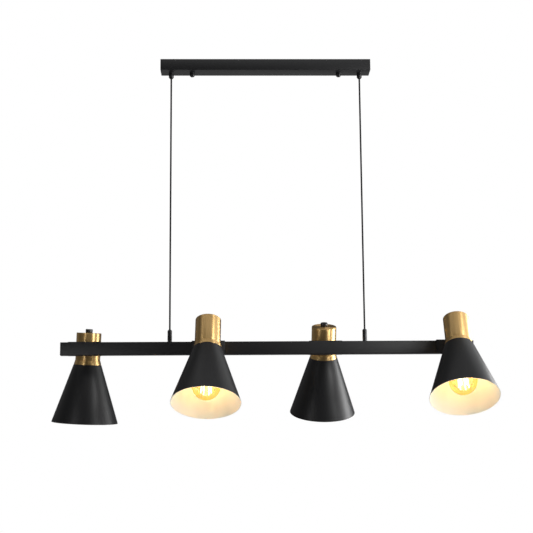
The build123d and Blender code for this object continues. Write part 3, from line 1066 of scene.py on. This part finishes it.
@dataclass
class Swivel:
    """A swivel: a disc on the bar's face with two cheeks, and the screw that the head tilts on."""

    setting: Setting
    disc_radius: float = 0.012
    disc_back: float = -0.0096
    disc_front: float = -0.0066
    spigot_radius: float = 0.00495
    spigot_back: float = -0.0186
    cheek_inside: float = 0.0034
    cheek_outside: float = 0.0064
    knuckle: float = 0.006
    edge: float = 0.0004
    shank_radius: float = 0.0025
    shank_reach: float = 0.005
    nut_radius: float = 0.0046
    nut_height: float = 0.004
    screw_rim: float = 0.0003

    def make(self) -> None:
        """Make the swivel's two pieces."""
        number = self.setting.number
        body = f"swivel_{number}"
        place = self.setting.swivelled()
        present(
            self.fork(), f"head_{number}_fork", body, Slot.COAT, [f"head_{number}_swivel_fork"], place
        )
        present(
            self.screw(), f"head_{number}_screw", body, Slot.FITTING, [f"head_{number}_hinge_screw"], place
        )

    def fork(self) -> BMesh:
        """Make the disc with its spigot and two rounded cheeks.

        Returns:
            The fork's mesh.
        """
        back = Vector((0, self.disc_back, 0))
        disc = rod(self.disc_radius, back, Vector((0, self.disc_front, 0)), 64, 0.0005)
        spigot = rod(self.spigot_radius, Vector((0, self.spigot_back, 0)), back, 32)
        parts = [disc, spigot]
        for side in (-1, 1):
            inside = Vector((side * self.cheek_inside, 0, 0))
            outside = Vector((side * self.cheek_outside, 0, 0))
            parts.append(rod(self.knuckle, inside, outside, 48, self.edge))
            near, far = sorted((inside.x, outside.x))
            root = box(
                Vector((near, self.disc_front - 0.0005, -self.knuckle)), Vector((far, 0, self.knuckle))
            )
            soften(root, [1], self.edge, 2)
            parts.append(root)
        return join(*parts)

    def screw(self) -> BMesh:
        """Make the hinge screw with its domed socket head and its nut.

        Returns:
            The mesh of the screw and its nut.
        """
        near = Vector((self.cheek_outside, 0, 0))
        shank_end = Vector((-self.cheek_outside - self.shank_reach, 0, 0))
        nut_end = Vector((-self.cheek_outside - self.nut_height, 0, 0))
        shank = rod(self.shank_radius, shank_end, near, 24, self.screw_rim)
        nut = rod(self.nut_radius, nut_end, -near, 6, self.screw_rim)
        outline = rounded([
            Corner(0, 0), Corner(4.5, 0, 0.2), Corner(4.5, 3, 1.2), Corner(2.1, 3, 0.15), Corner(2.0, 1.2),
            Corner(0, 1.2),
        ])
        head = turn(outline, 48)
        head.transform(Matrix.Translation(near) @ Matrix.Rotation(pi / 2, 4, "Y"))
        return join(shank, nut, head)


@dataclass
class SpotHead:
    """A spot head: brass cup and collar, black cone, lamp holder and the arm that carries them."""

    setting: Setting
    axis_offset: float = 0.054
    cup_radius: float = 29.0
    cup_top: float = 40.0
    cup_bottom: float = -25.0
    cup_wall: float = 1.2
    collar_bottom: float = -35.0
    cone_top: float = 32.5
    mouth: float = 77.5
    mouth_height: float = -170.0
    cone_wall: float = 1.0
    hole: float = 20.6
    coat: float = 0.15
    eye_radius: float = 0.006
    tongue: float = 0.003
    tongue_height: float = 0.0045
    stem_radius: float = 0.005
    washer_radius: float = 0.0075

    def make(self) -> None:
        """Make the head's pieces."""
        self.piece(turn(rounded(self.cup()), 128), "cup", Slot.BRASS)
        self.piece(turn(rounded(self.collar()), 128), "collar", Slot.BRASS)
        self.piece(turn(rounded(self.knob()), 48), "knob", Slot.FITTING)
        self.piece(turn(rounded(self.holder()), 64), "lamp_holder", Slot.HOLDER)
        self.piece(turn(rounded(self.cone()), 160), "shade", Slot.SHADE)
        self.piece(turn(rounded(self.lining()), 160), "shade_lining", Slot.LINING, replaces=False)
        self.arm()

    def piece(self, mesh: BMesh, name: str, slot: Slot, replaces: bool = True) -> Piece:
        """Carry a mesh made round the head's axis to its place and make a piece of it.

        Args:
            mesh: The mesh, made round Z.
            name: The frame node that it stands for, without the head's number.
            slot: The slot that its finish comes from.
            replaces: Whether it hides that node.

        Returns:
            The piece.
        """
        number = self.setting.number
        node = f"head_{number}_{name}"
        place = self.setting.tilted() @ Matrix.Translation((0, self.axis_offset, 0))
        hidden = [node] if replaces else []
        return present(mesh, node + "_skin", f"lamp_{number}", slot, hidden, place)

    def cup(self) -> list[Corner]:
        """Outline the brass cup.

        Returns:
            The outline's corners, in order.
        """
        inner = self.cup_radius - self.cup_wall
        under = self.cup_top - self.cup_wall
        return [
            Corner(self.cup_radius, self.cup_bottom, 0.6), Corner(self.cup_radius, self.cup_top, 1.1),
            Corner(5.0, self.cup_top, 0.2), Corner(5.0, under), Corner(inner, under, 0.4),
            Corner(inner, self.cup_bottom),
        ]

    def collar(self) -> list[Corner]:
        """Outline the flared collar under the cup.

        Returns:
            The outline's corners, in order.
        """
        return [
            Corner(26, self.cup_bottom), Corner(29.6, self.cup_bottom, 0.6),
            Corner(32, self.collar_bottom + 1, 0.4), Corner(32, self.collar_bottom, 0.25),
            Corner(26, self.collar_bottom),
        ]

    def knob(self) -> list[Corner]:
        """Outline the black knob that clamps the cup.

        Returns:
            The outline's corners, in order.
        """
        foot = self.cup_top
        return [
            Corner(0, foot), Corner(7.7, foot, 0.2), Corner(7.7, foot + 0.8), Corner(8.25, foot + 1.2, 0.2),
            Corner(8.25, foot + 9, 1.0), Corner(5.4, foot + 9, 0.3), Corner(4.9, foot + 8.2, 0.3),
            Corner(0, foot + 8.2),
        ]

    def holder(self) -> list[Corner]:
        """Outline the lamp holder with its threaded stem and its lip inside the shade.

        Returns:
            The outline's corners, in order.
        """
        lip = self.collar_bottom - self.cone_wall
        return [
            Corner(13.75, -45, 0.4), Corner(20, -45, 0.8), Corner(20, lip - 3, 0.3),
            Corner(24, lip - 3, 0.5), Corner(24, lip), Corner(20, lip), Corner(20, 5, 0.5), Corner(4.9, 5),
            Corner(4.9, 45.5), Corner(3, 45.5), Corner(3, -3), Corner(13.75, -9),
        ]

    def slope(self) -> float:
        """How much the cone's radius grows with each unit of depth."""
        return (self.mouth - self.cone_top) / (self.collar_bottom - self.mouth_height)

    def across(self) -> float:
        """The cone wall's thickness, measured along the radius."""
        return self.cone_wall * hypot(1, self.slope())

    def inner_top(self) -> float:
        """The radius of the hollow at the cone's top."""
        return self.cone_top + self.cone_wall * self.slope() - self.across()

    def cone(self) -> list[Corner]:
        """Outline the black cone with its flat top and thin rim.

        Returns:
            The outline's corners, in order.
        """
        under = self.collar_bottom - self.cone_wall
        return [
            Corner(self.hole, self.collar_bottom), Corner(self.cone_top, self.collar_bottom, 0.8),
            Corner(self.mouth, self.mouth_height, 0.3),
            Corner(self.mouth - self.across(), self.mouth_height, 0.3),
            Corner(self.inner_top(), under, 0.5), Corner(self.hole, under),
        ]

    def lining(self) -> list[Corner]:
        """Outline the white coat inside the cone, which also covers the end of its wall.

        Returns:
            The outline's corners, in order.
        """
        under = self.collar_bottom - self.cone_wall - 0.02
        wide = self.mouth - self.across() - 0.03
        narrow = self.inner_top() - 0.43
        rim = self.mouth_height - 0.02
        coat = self.coat
        return [
            Corner(20.8, under), Corner(narrow, under, 0.3), Corner(wide, rim),
            Corner(self.mouth - 0.25, rim), Corner(self.mouth - 0.25, rim - coat, 0.05),
            Corner(wide - coat, rim - coat, 0.05), Corner(narrow - coat, under - coat, 0.3),
            Corner(20.8, under - coat),
        ]

    def arm(self) -> None:
        """Make the arm: a tongue between the cheeks, a round stem and a washer against the cup."""
        shoulder = self.axis_offset - self.cup_radius * MM
        side = Vector((self.tongue, 0, 0))
        eye = rod(self.eye_radius, -side, side, 48, 0.0004)
        corner = side + Vector((0, 0, self.tongue_height))
        neck = box(-corner, corner + Vector((0, 0.010, 0)))
        soften(neck, [1], 0.0004, 2)
        stem = rod(self.stem_radius, Vector((0, 0.008, 0)), Vector((0, shoulder + 0.0012, 0)), 40, 0.0003)
        inner = Vector((0, shoulder - 0.0012, 0))
        outer = Vector((0, shoulder + 0.0010, 0))
        washer = rod(self.washer_radius, inner, outer, 48, 0.0003)
        number = self.setting.number
        present(
            join(eye, neck, stem, washer), f"head_{number}_arm_stem", f"lamp_{number}", Slot.COAT,
            [f"head_{number}_arm"], self.setting.tilted(),
        )


@dataclass
class Bulb:
    """A filament-style bulb: amber glass with a round end, lit sticks on a glass stem."""

    head: SpotHead
    neck: float = 12.25
    neck_top: float = -41.0
    widest: float = -128.0
    radius: float = 32.0
    stick_circle: float = 11.5
    stick_radius: float = 1.0
    stick_top: float = -71.0
    stick_bottom: float = -146.0
    sticks: int = 6
    light_power: float = 0.175
    light_radius: float = 0.012
    light_colour: Colour = (1.0, 0.78, 0.31)

    def make(self) -> None:
        """Make the bulb's pieces and light it."""
        number = self.head.setting.number
        PALETTE.dress(Slot.CAP, [f"head_{number}_bulb_cap"])
        glass = self.head.piece(self.glass(), "bulb_glass", Slot.GLASS)
        self.head.piece(self.lit_sticks(), "filament", Slot.FILAMENT)
        self.head.piece(self.stem(), "glass_stem", Slot.HOLDER, replaces=False)
        self.shine(glass)

    def glass(self) -> BMesh:
        """Blow the envelope: a neck that swells to a round end.

        Returns:
            The glass's mesh.
        """
        bow = self.radius * QUARTER
        tip = self.widest - self.radius
        shoulder = [
            Corner(self.neck, self.neck_top), Corner(self.neck, -75), Corner(self.radius, -95),
            Corner(self.radius, self.widest),
        ]
        dome = [
            Corner(self.radius, self.widest), Corner(self.radius, self.widest - bow), Corner(bow, tip),
            Corner(0, tip),
        ]
        return turn([Corner(0, self.neck_top).point(), *curve(shoulder, 24), *curve(dome, 18)[1:]])

    def lit_sticks(self) -> BMesh:
        """Stand the lit sticks in a ring that widens downwards.

        Returns:
            One mesh with all the sticks.
        """
        parts = []
        for index in range(self.sticks):
            angle = tau * index / self.sticks
            lean = Vector((cos(angle), sin(angle), 0)) * self.stick_circle * MM
            top = lean * 0.6 + Vector((0, 0, self.stick_top * MM))
            bottom = lean + Vector((0, 0, self.stick_bottom * MM))
            parts.append(rod(self.stick_radius * MM, top, bottom, 16, 0.0004))
        return join(*parts)

    def stem(self) -> BMesh:
        """Draw the glass stem that carries the sticks.

        Returns:
            The stem's mesh.
        """
        outline = rounded([
            Corner(0, -42), Corner(9, -42), Corner(4.5, -50, 3), Corner(3.0, -66, 2), Corner(1.2, -72, 1),
            Corner(1.0, -138, 0.3), Corner(2.2, -141, 0.8), Corner(1.6, -145, 0.8), Corner(0, -145.5),
        ])
        return turn(outline, 32)

    def shine(self, glass: Piece) -> None:
        """Put the bulb's light inside its glass, so that it goes where the bulb goes.

        Args:
            glass: The bulb's glass, which carries the light.
        """
        number = self.head.setting.number
        data = bpy.data.lights.new(f"head_{number}_light", "POINT")
        data.energy = self.light_power
        data.color = self.light_colour
        data.shadow_soft_size = self.light_radius
        light = add(f"head_{number}_light", data)
        middle = (self.stick_top + self.stick_bottom) / 2 * MM
        place = self.head.setting.tilted() @ Vector((0, self.head.axis_offset, middle))
        light.parent = glass
        light.location = place
        light.visible_camera = False


# ---- studio


@dataclass(frozen=True)
class Softbox:
    """A plain rectangular light."""

    name: str
    place: tuple[float, float, float]
    target: tuple[float, float, float]
    width: float
    height: float
    radiance: float

    def hang(self) -> None:
        """Put the light up."""
        data = bpy.data.lights.new(self.name, "AREA")
        data.shape = "RECTANGLE"
        data.size = self.width
        data.size_y = self.height
        data.energy = self.radiance * pi * self.width * self.height
        light = add(self.name, data)
        away = Vector(self.place) - Vector(self.target)
        light.location = self.place
        light.rotation_euler = away.to_track_quat("Z", "Y").to_euler()
        light.visible_camera = False


@dataclass
class Studio:
    """A plain white room with soft lights, a pale floor and the camera."""

    camera_place: tuple[float, float, float] = (-0.06732, -2.8812, -1.00967)
    pitch: float = 10.07
    yaw: float = 1.321
    roll: float = -0.435
    lens: float = 84.84
    sensor: float = 36.0
    floor_height: float = -2.2
    floor_radius: float = 4.0
    floor_colour: Colour = (0.72, 0.72, 0.72)
    floor_glow: float = 0.55
    surround: float = 0.07
    lamp: tuple[float, float, float] = (0.0, 0.0, -0.75)

    def camera(self) -> None:
        """Stand the camera where the lamp is seen from slightly below."""
        across = radians(self.yaw)
        lift = radians(self.pitch)
        lean = radians(self.roll)
        ahead = Vector((sin(across) * cos(lift), cos(across) * cos(lift), sin(lift)))
        level = Vector((cos(across), -sin(across), 0))
        above = level.cross(ahead)
        right = cos(lean) * level + sin(lean) * above
        upward = -sin(lean) * level + cos(lean) * above
        data = bpy.data.cameras.new("camera")
        data.lens = self.lens
        data.sensor_width = self.sensor
        data.clip_end = 50
        camera = add("camera", data)
        turned = Matrix((right, upward, -ahead)).transposed().to_4x4()
        camera.matrix_world = Matrix.Translation(self.camera_place) @ turned
        bpy.context.scene.camera = camera

    def floor(self) -> None:
        """Lay a pale round floor below the lamp."""
        mesh = bmesh.new()
        bmesh.ops.create_circle(mesh, cap_ends=True, segments=96, radius=self.floor_radius)
        bmesh.ops.translate(mesh, vec=(0, 0, self.floor_height), verts=mesh.verts)
        data = bpy.data.meshes.new("floor")
        mesh.to_mesh(data)
        mesh.free()
        data.materials.append(Glow("pale_floor", self.floor_colour, self.floor_glow).make())
        floor = add("floor", data)
        floor.visible_glossy = False

    def surroundings(self) -> None:
        """Make the backdrop white to the eye and a soft grey to the lamp."""
        world = bpy.data.worlds.new("studio")
        bpy.context.scene.world = world
        world.use_nodes = True
        nodes = world.node_tree.nodes
        links = world.node_tree.links
        nodes.clear()
        ray = nodes.new("ShaderNodeLightPath")
        mix = nodes.new("ShaderNodeMixShader")
        out = nodes.new("ShaderNodeOutputWorld")
        links.new(ray.outputs["Is Camera Ray"], mix.inputs[0])
        for place, strength in ((1, self.surround), (2, 1.0)):
            white = nodes.new("ShaderNodeBackground")
            white.inputs["Color"].default_value = (1, 1, 1, 1)
            white.inputs["Strength"].default_value = strength
            links.new(white.outputs[0], mix.inputs[place])
        links.new(mix.outputs[0], out.inputs["Surface"])

    def lights(self) -> None:
        """Put up the lights, all aimed at the lamp."""
        lamp = self.lamp
        for softbox in (
            Softbox("key", (2.0, -1.75, -0.2), lamp, 0.35, 2.2, 9.0),
            Softbox("near", (1.1, 0.3, -0.85), lamp, 0.5, 1.0, 6.8),
            Softbox("right", (1.5, -0.5, -0.5), lamp, 2.2, 1.6, 1.0),
            Softbox("front_right", (0.85, -1.15, -0.4), lamp, 0.25, 0.7, 3.0),
            Softbox("left", (-1.0, -0.98, -0.95), lamp, 0.18, 0.8, 3.4),
            Softbox("left_wall", (-2.2, 1.3, 0.3), lamp, 2.4, 1.6, 0.1),
            Softbox("above_left", (-1.3, -0.5, 1.15), lamp, 1.4, 1.4, 0.45),
            Softbox("above", (0.0, -0.6, 1.6), lamp, 2.6, 2.4, 0.36),
            Softbox("above_right", (2.0, 1.2, 1.2), lamp, 2.4, 2.2, 0.75),
            Softbox("above_front", (0.2, -2.0, 1.5), lamp, 2.4, 1.4, 0.6),
            Softbox("behind", (0.0, 3.0, -1.2), lamp, 3.0, 1.2, 0.35),
        ):
            softbox.hang()
        bpy.context.scene.view_settings.view_transform = "Standard"


# ---- the lamp


def main() -> None:
    """Build the studio and the lamp, in order."""
    logging.basicConfig(level=logging.INFO, format="%(name)s %(message)s")
    PALETTE.mix()
    studio = Studio()
    studio.camera()
    Cables().make()
    settings = [Setting.read(number) for number in range(1, 5)]
    Canopy().make()
    Bar().make(settings)
    for setting in settings:
        Swivel(setting).make()
        head = SpotHead(setting)
        head.make()
        Bulb(head).make()
    studio.floor()
    studio.surroundings()
    studio.lights()
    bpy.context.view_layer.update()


if __name__ == "__main__":
    main()
